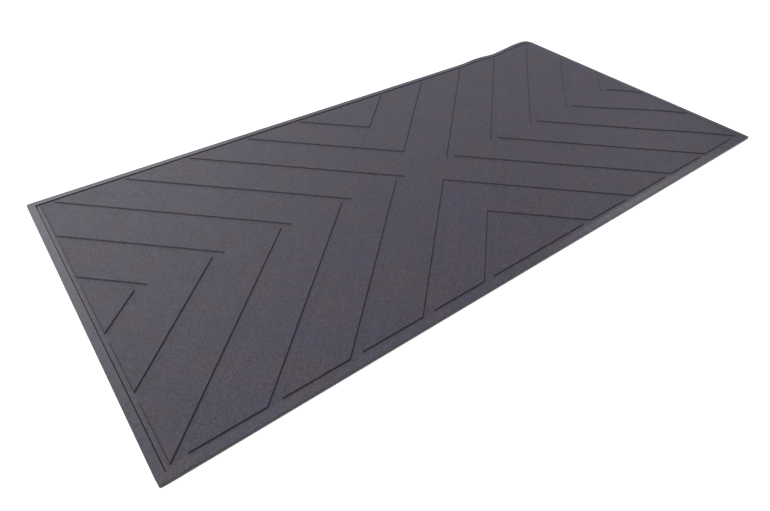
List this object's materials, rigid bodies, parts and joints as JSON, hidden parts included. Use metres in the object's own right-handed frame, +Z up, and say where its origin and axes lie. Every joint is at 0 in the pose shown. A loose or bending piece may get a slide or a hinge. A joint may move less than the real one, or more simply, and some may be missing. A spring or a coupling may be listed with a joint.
{
  "type": "truck bed mat",
  "caption": "Rectangular rubber mat with a raised rim and raised mitred chevron panels, lying on the floor of a pickup bed so that loads don't slide.",
  "frame": {"origin": "centre of the underside, on the floor that the mat lies on", "axes": "+X along the mat towards its end with the low hump, +Y across the mat towards the long side where the hump is highest, +Z up from the underside to the patterned face"},
  "size_m": [2.4166, 1.2192, 0.0275],
  "materials": {
    "mat_rubber": "matt"
  },
  "bodies": {
    "root": {"bed_mat": "mat_rubber"}
  },
  "joints": []
}
